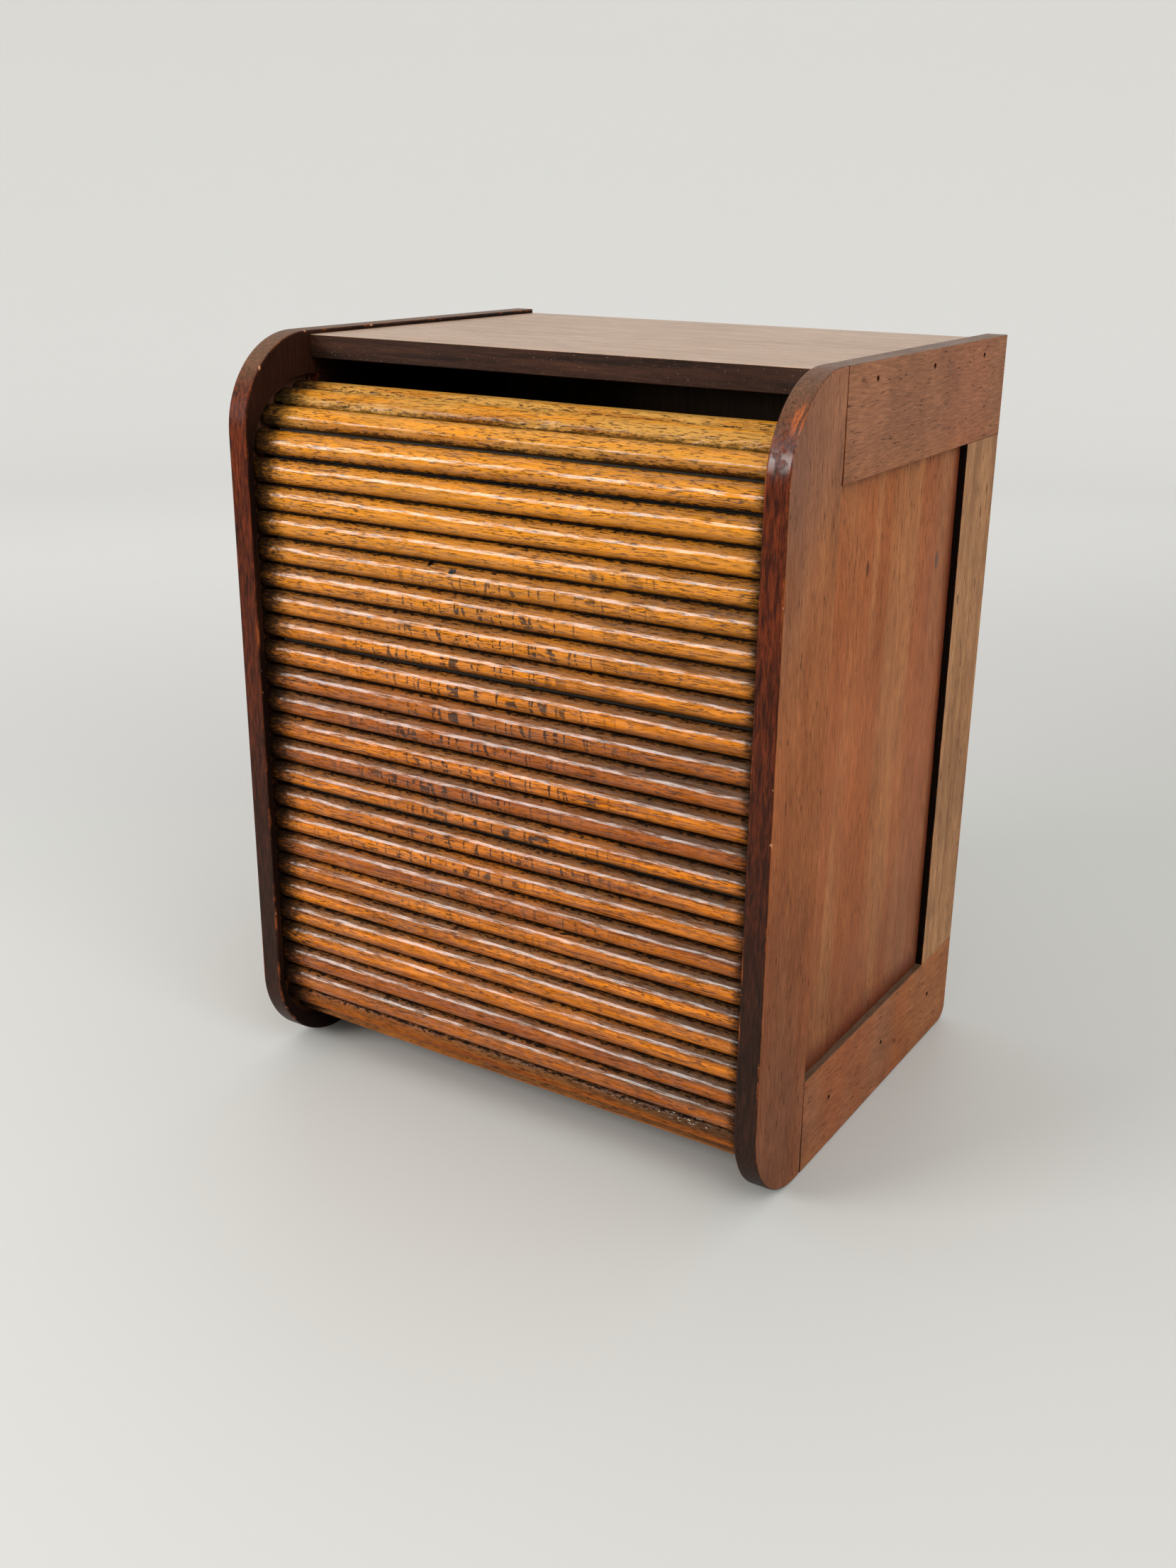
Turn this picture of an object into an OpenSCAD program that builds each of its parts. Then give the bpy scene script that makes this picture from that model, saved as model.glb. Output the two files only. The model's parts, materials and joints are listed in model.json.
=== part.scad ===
// Countertop bread box closed by a tambour: a curtain of wooden slats on canvas
// that runs in grooves down the front, round the bottom bend, under the floor
// board and up behind the false back. Origin: middle of the footprint, on the
// surface it stands on. +X is the box's right-hand side seen from the front,
// -Y is the front, +Z is up.

/* [Case] */
// Width over both sides
case_w = 336; // [260:1:420]
// Depth from the front edges to the back
case_d = 275; // [230:1:340]
// Height of the sides
case_h = 430; // [350:1:520]
// Thickness of the side frames
side_t = 13; // [12:0.5:16]
// Radius of the sides' two front corners
corner_r = 52; // [40:1:60]
// Radius of the sides' rear bottom corner
rear_corner_r = 9; // [4:1:11]

/* [Side frames] */
// Width of the front stiles
front_stile_w = 57; // [50:1:70]
// Width of the rear stiles
rear_stile_w = 50; // [42:1:60]
// Height of the top rails
top_rail_h = 55; // [46:1:70]
// Height of the bottom rails
bottom_rail_h = 57; // [48:1:70]
// Thickness of the side panels
panel_t = 5; // [4:0.5:6]
// How far the panels lie back from the frames' outer faces
panel_recess = 4.4; // [3:0.1:5]
// How far the panels reach into the frames
panel_lap = 8; // [5:1:9]
// Room left for the panels to swell in their grooves
panel_play = 0.5; // [0.2:0.1:1]
// Thickness of the frame joints' stub tenons
tenon_t = 3; // [2:0.5:3.5]
// Length of the stub tenons
tenon_l = 10; // [6:1:12]
// Shoulder between a tenon and the edge of its rail or stile
tenon_shoulder = 12; // [10:1:14]
// Depth of the tenons behind the frames' outer faces
tenon_depth = 3.5; // [3:0.5:4]
// Clearance at the end of each tenon
tenon_play = 0.3; // [0.1:0.1:0.5]

/* [Boards] */
// Thickness of the top board
top_t = 12.5; // [10:0.5:15]
// How far the top board lies below the sides' top edges
top_drop = 2.4; // [1:0.1:4]
// Distance from the front edges back to the top board
top_setback = 55; // [50:1:70]
// Thickness of the floor board
floor_t = 10; // [8:0.5:12]
// Height of the floor board above the curtain's lower run
floor_rise = 6; // [5:0.5:8]
// Thickness of the false back inside the box
inner_back_t = 5; // [4:0.5:6]
// Thickness of the back board
back_t = 4; // [3:0.5:5]
// Height of the back board's lower edge
back_foot = 13; // [12:1:20]
// Depth of the housings that hold floor board, false back and back board
housing_depth = 3; // [2:0.5:4]

/* [Curtain] */
// Number of slats in the curtain
slat_count = 30; // [24:1:30]
// Slats that lie on the top bend when the curtain is closed
top_slats = 5; // [4:1:6]
// Slats below the stiff front run when the curtain is closed
bottom_slats = 9; // [8:1:10]
// Thickness of a slat at the crown of its bead
slat_t = 8; // [6:0.5:9]
// Height of a slat's square edges below the bead
slat_edge = 3; // [2:0.5:4]
// Ledge left between a slat's bead and each of its square edges
bead_inset = 0.2; // [0.1:0.1:0.5]
// Gap between neighbouring slats
slat_gap = 1; // [0.8:0.1:1.6]
// Play between a slat's body and each side
slat_play = 0.7; // [0.4:0.1:1.5]
// Length of the tongue at each end of a slat
tongue_l = 5.2; // [4:0.1:5.5]
// Height above the canvas at which the tongues begin
tongue_lift = 3.7; // [3:0.1:4.5]
// Thickness of the canvas glued behind the slats
canvas_t = 0.8; // [0.5:0.1:1]
// Gap between each end of the canvas and the sides
canvas_inset = 6; // [4:1:20]

/* [Curtain run] */
// How far the slats' faces lie behind the front edges
curtain_recess = 6.5; // [5:0.5:9]
// Radius of the curtain's canvas line at every bend
bend_r = 35; // [32:1:38]
// Finger gap between the closed curtain and the top board
finger_gap = 11; // [9:0.5:16]
// Height of the lower run's slat faces above the table
bottom_clear = 12; // [8:0.5:16]
// Length of front run above the first slat of the stiff front group
front_lead = 10; // [8:0.5:12]
// Depth of the grooves in the sides' inner faces
groove_depth = 6; // [5:0.5:6.5]
// Clearance between the grooves and the slats' faces
face_play = 2.2; // [1.8:0.1:3]
// Clearance between the grooves and the canvas line
canvas_play = 0.8; // [0.5:0.1:1.5]
// Length of groove left past the closed curtain's top edge
stop_play = 2.5; // [1:0.5:6]
// Clearance between the curtain's rear run and the back board
rear_play = 3; // [2:0.5:5]
// Clearance between the floor board's noses and the canvas line
nose_play = 5.5; // [5:0.5:8]
// Gap between the false back and the curtain's rear run
inner_back_gap = 9; // [8:0.5:12]
// Height of the grooves' open ends at the rear, below the top rails
rear_groove_drop = 75; // [40:5:120]

/* [Nails] */
// Radius of the nails' shanks
nail_r = 0.9; // [0.7:0.1:1.2]
// Radius of the nails' heads
nail_head_r = 1.5; // [1.2:0.1:2]
// Thickness of the nails' heads
nail_head_t = 1; // [0.8:0.1:1.5]
// Length of a nail
nail_l = 32; // [25:1:40]
// How deep the heads are punched below the surface
nail_sink = 0.8; // [0.5:0.1:1.5]
// Distance from a board's front and back edges to its end nails
nail_end = 36; // [20:1:50]
// Nails in each end of a board
nail_rows = 3; // [2:1:4]

/* [Hidden] */
$fn = 96;
// Small overlap that joins a tenon to its rail
eps = 0.01;
// How far a cut reaches past the surface it opens, so that it leaves no skin
over = 1;
// Half the clear width between the sides
inside_x = case_w / 2 - side_t;
// Underside of the top board, and the curtain's canvas lines at top and bottom
top_under = case_h - top_drop - top_t;
top_line = top_under - finger_gap - slat_t;
bottom_line = bottom_clear + slat_t;
// Canvas lines of the front and rear runs, measured back from the front edges
front_line = curtain_recess + slat_t;
rear_line = case_d - back_t - rear_play - slat_t;
// Centres of the three bends
front_bend_y = front_line + bend_r;
rear_bend_y = rear_line - bend_r;
top_bend_z = top_line - bend_r;
bottom_bend_z = bottom_line + bend_r;
// Lengths of a bend and of the straight front run
bend_l = PI / 2 * bend_r;
front_l = top_bend_z - bottom_bend_z;
// All but the last of the slats below the top bend share the front run and the
// bottom bend, and the last one lies level behind them
slat_pitch = (front_l - front_lead + bend_l) / (slat_count - top_slats - 1);
slat_w = slat_pitch - slat_gap;
// The curtain's top edge, as a length along its run (0 where the top bend begins)
curtain_start = bend_l + front_lead - top_slats * slat_pitch;
// Outline radius of a slat's bead, through its crown and the ledges beside it
bead_h = slat_t - slat_edge;
bead_half = slat_w / 2 - bead_inset;
bead_r = (bead_half * bead_half + bead_h * bead_h) / (2 * bead_h);
// Inner faces of the floor board and the false back
floor_z = bottom_line + floor_rise;
floor_top = floor_z + floor_t;
inner_back_y = rear_line - inner_back_gap - inner_back_t;
// Edges of the opening in each side frame
panel_y0 = front_stile_w;
panel_y1 = case_d - rear_stile_w;
panel_z0 = bottom_rail_h;
panel_z1 = case_h - top_rail_h;
nose_r = bend_r - nose_play;

first_front = top_slats + 1;
last_front = slat_count - bottom_slats;
corner_slats = concat([for (i = [1:top_slats]) i], [for (i = [last_front + 1:slat_count]) i]);

function two_digits(i) = str(i < 10 ? "0" : "", i);
function slat_name(i) = str("slat_", two_digits(i));
function canvas_name(i) = str("canvas_", two_digits(i));

case_wood = [0.42, 0.22, 0.14];
panel_wood = [0.47, 0.25, 0.16];
top_wood = [0.40, 0.27, 0.22];
inner_wood = [0.62, 0.47, 0.32];
slat_wood = [0.72, 0.45, 0.19];

// --- The curtain's run ---------------------------------------------------

// Point [back from the front edges, height] at length s along the canvas line
function run_point(s) =
    s < 0 ? [front_bend_y - s, top_line]
    : s < bend_l ? front_bend([0, top_bend_z], 90 + s / bend_r * 180 / PI)
    : s < bend_l + front_l ? [front_line, top_bend_z + bend_l - s]
    : s < 2 * bend_l + front_l
        ? front_bend([0, bottom_bend_z], 180 + (s - bend_l - front_l) / bend_r * 180 / PI)
    : [front_bend_y + s - 2 * bend_l - front_l, bottom_line];

// Point on a front bend at an angle measured from straight back
function front_bend(centre, angle) =
    [front_bend_y + bend_r * cos(angle), centre[1] + bend_r * sin(angle)];

function slat_start(i) = curtain_start + (i - 1) * slat_pitch;
function slat_middle(i) = (run_point(slat_start(i)) + run_point(slat_start(i + 1))) / 2;
function slat_heading(i) = run_point(slat_start(i + 1)) - run_point(slat_start(i));
function slat_angle(i) = atan2(slat_heading(i)[1], slat_heading(i)[0]);

// Carries an outline drawn as [back, up] across the box, from x0 over a length
module across(x0, length) {
    translate([x0, -case_d / 2, 0]) rotate([90, 0, 90]) linear_extrude(length) children();
}

module rect(y0, z0, y1, z1) {
    translate([y0, z0]) square([y1 - y0, z1 - z0]);
}

// Band round one bend, between the slats' faces and the canvas line
module bend_band(y, z, face_side) {
    face_r = bend_r + slat_t + face_play;
    intersection() {
        translate([y, z]) difference() {
            circle(face_r);
            circle(bend_r - canvas_play);
        }
        translate([y, z]) mirror([face_side[0] < 0 ? 1 : 0, 0])
            mirror([0, face_side[1] < 0 ? 1 : 0]) square(face_r + over);
    }
}

// Outline of the groove that guides the slats' tongues
module groove_outline() {
    face = slat_t + face_play;
    bend_band(front_bend_y, top_bend_z, [-1, 1]);
    bend_band(front_bend_y, bottom_bend_z, [-1, -1]);
    bend_band(rear_bend_y, bottom_bend_z, [1, -1]);
    rect(front_bend_y, top_line - canvas_play,
        front_bend_y - curtain_start + stop_play, top_line + face);
    rect(front_line - face, bottom_bend_z, front_line + canvas_play, top_bend_z);
    rect(front_bend_y, bottom_line - face, rear_bend_y, bottom_line + canvas_play);
    rect(rear_line - canvas_play, bottom_bend_z, rear_line + face, panel_z1 - rear_groove_drop);
}

// --- Side frames ---------------------------------------------------------

// Outline of a whole side: both front corners and the rear bottom one are round
module side_outline() {
    difference() {
        square([case_d, case_h]);
        corner_cut([corner_r, corner_r], [-1, -1], corner_r);
        corner_cut([corner_r, case_h - corner_r], [-1, 1], corner_r);
        corner_cut([case_d - rear_corner_r, rear_corner_r], [1, -1], rear_corner_r);
    }
}

// What a square corner loses when it is rounded about a centre
module corner_cut(centre, way, r) {
    translate(centre) mirror([way[0] < 0 ? 1 : 0, 0]) mirror([0, way[1] < 0 ? 1 : 0])
        difference() {
            square(r + over);
            circle(r);
        }
}

// Outlines of the two boards housed in the sides' inner faces
module floor_outline() {
    intersection() {
        rect(0, floor_z, case_d, floor_top);
        union() {
            translate([front_bend_y, bottom_bend_z]) circle(nose_r);
            rect(front_bend_y, floor_z, rear_bend_y, floor_top);
            intersection() {
                translate([rear_bend_y, bottom_bend_z]) circle(bend_r - canvas_play);
                rect(rear_bend_y, floor_z, inner_back_y + inner_back_t, floor_top);
            }
        }
    }
}

module inner_back_outline() {
    rect(inner_back_y, floor_top, inner_back_y + inner_back_t, top_under);
}

module back_outline() {
    rect(case_d - back_t, back_foot, case_d, top_under);
}

// A slab of the left side, cut to the side's outline and hollowed for what it holds
module side_slab(y0, z0, y1, z1) {
    difference() {
        across(-case_w / 2, side_t) intersection() {
            side_outline();
            rect(y0, z0, y1, z1);
        }
        across(-inside_x - groove_depth, groove_depth + over) groove_outline();
        across(-inside_x - housing_depth, housing_depth + over) {
            floor_outline();
            inner_back_outline();
            back_outline();
        }
        panel_space(panel_lap + panel_play);
        nail_heads();
    }
}

// The side panel's space, reaching a given way into the frame round it
module panel_space(reach) {
    across(-case_w / 2 + panel_recess, panel_t)
        rect(panel_y0 - reach, panel_z0 - reach, panel_y1 + reach, panel_z1 + reach);
}

// A stub tenon, or with play the mortise it stands in
module tenon(y0, z0, y1, z1) {
    across(-case_w / 2 + tenon_depth, tenon_t) rect(y0, z0, y1, z1);
}

// Tenons of the two rails into the front stile, and of the rear stile into the rails
module rail_tenons(play) {
    for (z = [tenon_shoulder, panel_z1 + tenon_shoulder])
        tenon(panel_y0 - tenon_l - play, z, panel_y0 + eps,
            z + min(top_rail_h, bottom_rail_h) - 2 * tenon_shoulder);
}

module rear_stile_tenons(play) {
    tenon(panel_y1 + tenon_shoulder, panel_z0 - tenon_l - play,
        case_d - tenon_shoulder, panel_z1 + tenon_l + play);
}

module side_placed(right) {
    mirror([right ? 1 : 0, 0, 0]) children();
}

module front_stile(right) {
    color(case_wood) side_placed(right) difference() {
        side_slab(0, 0, panel_y0, case_h);
        rail_tenons(tenon_play);
    }
}

module rear_stile(right) {
    color(case_wood) side_placed(right) {
        side_slab(panel_y1, panel_z0, case_d, panel_z1);
        difference() {
            rear_stile_tenons(0);
            across(-case_w / 2, side_t) rect(panel_y1, panel_z0, case_d, panel_z1);
        }
    }
}

module top_rail(right) {
    color(case_wood) side_placed(right) {
        difference() {
            side_slab(panel_y0, panel_z1, case_d, case_h);
            rear_stile_tenons(tenon_play);
        }
        intersection() {
            rail_tenons(0);
            across(-case_w / 2, side_t) rect(0, panel_z1, panel_y0, case_h);
        }
    }
}

module bottom_rail(right) {
    color(case_wood) side_placed(right) {
        difference() {
            side_slab(panel_y0, 0, case_d, panel_z0);
            rear_stile_tenons(tenon_play);
        }
        intersection() {
            rail_tenons(0);
            across(-case_w / 2, side_t) rect(0, 0, panel_y0, panel_z0);
        }
    }
}

module panel(right) {
    color(panel_wood) side_placed(right) panel_space(panel_lap);
}

module left_front_stile() { front_stile(false); }
module left_rear_stile() { rear_stile(false); }
module left_top_rail() { top_rail(false); }
module left_bottom_rail() { bottom_rail(false); }
module left_panel() { panel(false); }
module right_front_stile() { front_stile(true); }
module right_rear_stile() { rear_stile(true); }
module right_top_rail() { top_rail(true); }
module right_bottom_rail() { bottom_rail(true); }
module right_panel() { panel(true); }

// --- Boards --------------------------------------------------------------

module top_board() {
    color(top_wood) across(-inside_x, 2 * inside_x)
        rect(top_setback, top_under, case_d, top_under + top_t);
}

// A board housed in both sides
module housed() {
    reach = inside_x + housing_depth;
    across(-reach, 2 * reach) children();
}

module floor_board() {
    color(inner_wood) housed() floor_outline();
}

module false_back() {
    color(inner_wood) housed() inner_back_outline();
}

module back_board() {
    color(inner_wood) housed() back_outline();
}

// --- Nails ---------------------------------------------------------------

// Nails through the left side into the ends of the top board and the floor board
nail_heights = [top_under + top_t / 2, floor_z + floor_t / 2];
nail_step = (case_d - top_setback - 2 * nail_end) / (nail_rows - 1);

module at_nails() {
    for (z = nail_heights, row = [0:nail_rows - 1])
        translate([-case_w / 2, top_setback + nail_end + row * nail_step - case_d / 2, z])
            rotate([0, 90, 0]) children();
}

// Holes over the punched heads
module nail_heads() {
    at_nails() translate([0, 0, -over]) cylinder(r = nail_head_r, h = over + nail_sink);
}

module nails() {
    color("dimgray") for (right = [false, true]) side_placed(right) at_nails() {
        translate([0, 0, nail_sink]) cylinder(r = nail_head_r, h = nail_head_t);
        translate([0, 0, nail_sink]) cylinder(r = nail_r, h = nail_l);
    }
}

// --- Curtain -------------------------------------------------------------

// Half-round bead on square edges; the canvas side lies on the local x axis
module slat_outline() {
    translate([-slat_w / 2, -slat_edge]) square([slat_w, slat_edge]);
    intersection() {
        translate([-slat_w, -slat_t]) square([2 * slat_w, bead_h]);
        translate([0, bead_r - slat_t]) circle(bead_r);
    }
}

module at_slat(i) {
    translate([0, slat_middle(i)[0] - case_d / 2, slat_middle(i)[1]])
        rotate([slat_angle(i), 0, 0]) rotate([90, 0, 90]) children();
}

module slat(i) {
    color(slat_wood) at_slat(i) {
        linear_extrude(2 * (inside_x - slat_play), center = true) slat_outline();
        linear_extrude(2 * (inside_x + tongue_l), center = true) intersection() {
            slat_outline();
            translate([-slat_w, -slat_t]) square([2 * slat_w, slat_t - tongue_lift]);
        }
    }
}

// Canvas behind one slat of a bend
module canvas_strip(i) {
    color("tan") at_slat(i) linear_extrude(2 * (inside_x - canvas_inset), center = true)
        translate([-slat_w / 2, 0]) square([slat_w, canvas_t]);
}

// One length of canvas behind the slats of the straight front run
module front_canvas() {
    color("tan") across(-inside_x + canvas_inset, 2 * (inside_x - canvas_inset))
        rect(front_line, run_point(slat_start(last_front + 1))[1] + slat_gap / 2,
            front_line + canvas_t, run_point(slat_start(first_front))[1] - slat_gap / 2);
}

// --- Assembly ------------------------------------------------------------

left_front_stile();
left_rear_stile();
left_top_rail();
left_bottom_rail();
left_panel();
right_front_stile();
right_rear_stile();
right_top_rail();
right_bottom_rail();
right_panel();
top_board();
floor_board();
false_back();
back_board();
nails();
front_canvas();
for (i = [1:slat_count]) slat(i);
for (i = corner_slats) canvas_strip(i);
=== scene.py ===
"""Bread box with a roll front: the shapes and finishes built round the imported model."""

import json
import math

import bmesh
import bpy
import numpy as np
from bpy.props import FloatProperty, FloatVectorProperty, IntProperty, PointerProperty
from mathutils import Euler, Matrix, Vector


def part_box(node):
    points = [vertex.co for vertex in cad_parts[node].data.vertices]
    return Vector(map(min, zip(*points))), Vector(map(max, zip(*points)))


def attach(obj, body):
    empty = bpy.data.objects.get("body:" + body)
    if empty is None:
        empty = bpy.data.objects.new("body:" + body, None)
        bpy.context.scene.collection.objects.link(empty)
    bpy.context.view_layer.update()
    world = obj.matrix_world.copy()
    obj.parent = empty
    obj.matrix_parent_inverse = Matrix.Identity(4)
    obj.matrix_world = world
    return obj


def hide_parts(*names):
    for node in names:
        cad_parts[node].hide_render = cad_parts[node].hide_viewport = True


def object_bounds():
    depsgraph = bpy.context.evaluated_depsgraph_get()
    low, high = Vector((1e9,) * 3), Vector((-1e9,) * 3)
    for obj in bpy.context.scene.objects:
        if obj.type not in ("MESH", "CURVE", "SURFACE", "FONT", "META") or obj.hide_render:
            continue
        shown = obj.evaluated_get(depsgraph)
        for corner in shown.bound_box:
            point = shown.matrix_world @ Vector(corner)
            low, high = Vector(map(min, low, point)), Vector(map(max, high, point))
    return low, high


bl_info = {
    "name": "Roll-Front Bread Box",
    "version": (1, 0, 0),
    "blender": (4, 5, 0),
    "location": "3D Viewport > Sidebar > Bread Box",
    "description": "Shapes, woods and cloth of a tambour bread box",
    "category": "Object",
}

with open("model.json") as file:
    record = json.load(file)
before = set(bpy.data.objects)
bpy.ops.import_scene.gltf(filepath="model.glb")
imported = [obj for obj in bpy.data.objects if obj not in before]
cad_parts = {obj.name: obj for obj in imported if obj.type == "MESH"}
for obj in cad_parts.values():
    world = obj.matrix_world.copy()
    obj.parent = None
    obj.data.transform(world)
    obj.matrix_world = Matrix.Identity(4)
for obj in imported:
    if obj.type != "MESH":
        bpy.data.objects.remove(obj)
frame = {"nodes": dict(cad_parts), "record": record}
CAD_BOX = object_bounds()

NODE_BODY = {n: b for b, nodes in frame["record"]["behaviour"]["bodies"].items() for n in nodes}
SLATS = sorted(n for n in NODE_BODY if n.startswith("slat_"))
CANVASES = sorted(n for n in NODE_BODY if "canvas" in n)
SIDES = ("left", "right")
MEMBERS = ("front_stile", "rear_stile", "top_rail", "bottom_rail")

# Radii of the sides' outline: both front corners, and the rear foot
FRONT_CORNER, REAR_FOOT = 0.052, 0.009
# Height of the square edges below a slat's bead
SLAT_EDGE = 0.003
# Bends sharper than these are rounded, and shaded as two separate faces
SHARP_BEND, SHADED_BEND = math.radians(50), math.radians(30)


def lit(r, g, b):
    """Linear light of a colour given on the usual 0 to 255 scale."""
    def channel(c):
        c /= 255
        return c / 12.92 if c <= 0.04045 else ((c + 0.055) / 1.055) ** 2.4
    return (channel(r), channel(g), channel(b), 1.0)


# --- Sizes and colours a user would change --------------------------------


def small_length(name, description, default):
    """A length of up to a centimetre."""
    return FloatProperty(name=name, description=description, default=default, min=0.0,
                         max=0.01, precision=5, subtype="DISTANCE", unit="LENGTH")


def tint(name, description, r, g, b):
    """A colour, given on the usual 0 to 255 scale."""
    return FloatVectorProperty(name=name, description=description, default=lit(r, g, b),
                               size=4, min=0.0, max=1.0, subtype="COLOR")


class CaseLooks(bpy.types.PropertyGroup):
    """Edges and colours of the case."""

    outline_round: small_length("Outline rounding", "Rounding of the sides' outer edges", 0.0011)
    edge_round: small_length("Edge rounding", "Rounding of the boards' and rails' edges", 0.0004)
    crack_open: small_length("Joint crack", "Opening of the two cracked joints", 0.0011)
    face_light: tint("Side, light", "Light streaks of the sides' outer faces", 174, 112, 68)
    face_dark: tint("Side, dark", "Dark streaks of the sides' outer faces", 128, 72, 41)
    # The edge colours are partly dark stain and partly painted shade of the less lit front edges
    edge_light: tint("Edge, light", "Light streaks of the stained edges", 98, 40, 17)
    edge_dark: tint("Edge, dark", "Dark streaks of the stained edges", 48, 19, 10)
    inner_tone: tint("Inner faces", "Stained inner faces of the sides", 24, 12, 8)
    worn_tone: tint("Worn edges", "Bare wood on worn edges", 158, 82, 40)


class CurtainLooks(bpy.types.PropertyGroup):
    """Shape and colours of the slats and their canvas."""

    across_points: IntProperty(name="Points across", description="Points over a slat's bead",
                               default=30, min=8, max=80)
    along_points: IntProperty(name="Points along", description="Stations along a slat",
                              default=150, min=20, max=400)
    unevenness: small_length("Unevenness", "How unevenly the beads were planed", 0.00022)
    worn_off: small_length("Worn off", "Wood worn off the gripped top slats", 0.0011)
    amber: tint("Amber", "Varnished wood of the slats", 212, 120, 11)
    brown: tint("Brown", "Darker streaks of the slats", 136, 68, 8)
    # Grime also serves as painted shade in the notches and at the slats' ends
    grime_and_shade: tint("Grime", "Dirt in the notches and at the slats' ends", 26, 17, 11)
    greyed: tint("Greyed", "Bare, handled wood of the top slats", 190, 140, 66)
    cloth_light: tint("Canvas, light", "Threads of the canvas", 196, 184, 158)
    cloth_dark: tint("Canvas, dark", "Gaps and dust of the canvas", 112, 98, 76)


class StudioLooks(bpy.types.PropertyGroup):
    """Floor, wall, lights and camera."""

    floor_tone: tint("Floor", "Colour of the floor", 196, 197, 194)
    wall_tone: tint("Wall", "Colour of the wall", 225, 225, 222)
    # The wall is painted darker at its foot, a painted shade, and lighter farther off, painted
    # light that makes up for the lamps' weaker reach
    wall_far_light: tint("Far wall", "Colour of the wall where it meets the cove", 225, 225, 223)
    wall_foot_shade: tint("Wall foot", "Colour of the wall near the floor", 196, 196, 194)
    window_power: FloatProperty(name="Window", description="Power of the window light",
                                default=27.0, min=0.0, max=500.0, subtype="POWER", unit="POWER")
    sky_power: FloatProperty(name="Sky", description="Strength of the even light",
                             default=0.88, min=0.0, max=5.0)


# --- Meshes ----------------------------------------------------------------


def add_piece(name, points, faces, attributes=None, materials=()):
    """An object at the origin from whole arrays: points (n, 3) and faces, each (m, corners)."""
    corners = np.concatenate([part.ravel() for part in faces])
    per_face = np.concatenate([np.full(len(part), part.shape[1]) for part in faces])
    mesh = bpy.data.meshes.new(name)
    mesh.vertices.add(len(points))
    mesh.vertices.foreach_set("co", np.asarray(points, np.float32).ravel())
    mesh.loops.add(len(corners))
    mesh.loops.foreach_set("vertex_index", corners.astype(np.int32))
    mesh.polygons.add(len(per_face))
    mesh.polygons.foreach_set("loop_start", (np.cumsum(per_face) - per_face).astype(np.int32))
    mesh.polygons.foreach_set("loop_total", per_face.astype(np.int32))
    mesh.update(calc_edges=True)
    mesh.validate()
    mesh.shade_smooth()
    for key, values in (attributes or {}).items():
        layer = mesh.attributes.new(key, "FLOAT", "POINT")
        layer.data.foreach_set("value", np.asarray(values, np.float32).ravel())
    for material in materials:
        mesh.materials.append(material)
    piece = bpy.data.objects.new(name, mesh)
    bpy.context.scene.collection.objects.link(piece)
    return piece


def tube_faces(rings, around):
    """Quads of a closed tube: ring r, point p joins (r, p), (r, p+1), (r+1, p+1), (r+1, p)."""
    r, p = np.meshgrid(np.arange(rings - 1), np.arange(around), indexing="ij")
    q = (p + 1) % around
    return np.stack([r * around + p, r * around + q, (r + 1) * around + q,
                     (r + 1) * around + p], axis=-1).reshape(-1, 4)


def sheet_faces(rows, columns):
    """Quads of an open grid, row after row."""
    r, c = np.meshgrid(np.arange(rows - 1), np.arange(columns - 1), indexing="ij")
    first = r * columns + c
    return np.stack([first, first + 1, first + columns + 1, first + columns],
                    axis=-1).reshape(-1, 4)


def fan_faces(hub, ring):
    """Triangles from the point hub to each side of a closed ring of points, in its order."""
    return np.stack([np.full(len(ring), hub), ring, np.roll(ring, -1)], axis=-1)


def wander(x, rng, waves, span):
    """A smooth random line through x: a sum of sines, the shorter ones lower, about -1 to 1."""
    total = np.zeros_like(x)
    for k in range(1, waves + 1):
        total += np.sin(2 * np.pi * (k * x / span * rng.uniform(0.7, 1.3) + rng.random())) / k
    return total / 1.6


def mesh_points(mesh):
    """A mesh's points as an array (n, 3)."""
    points = np.empty(len(mesh.vertices) * 3, np.float32)
    mesh.vertices.foreach_get("co", points)
    return points.reshape(-1, 3)


def node_points(name):
    """The CAD node's points as an array (n, 3)."""
    return mesh_points(frame["nodes"][name].data).astype(float)


def lie(flat):
    """The directions in which points (n, 2) spread most and least: along, and across."""
    spread = np.linalg.eigh(np.cov((flat - flat.mean(0)).T))[1]
    return spread[:, 1], spread[:, 0]


def smooth_step(x, low, high):
    """0 below low, 1 above high, and a smooth rise between."""
    t = np.clip((x - low) / (high - low), 0, 1)
    return t * t * (3 - 2 * t)


# --- Materials -------------------------------------------------------------


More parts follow.
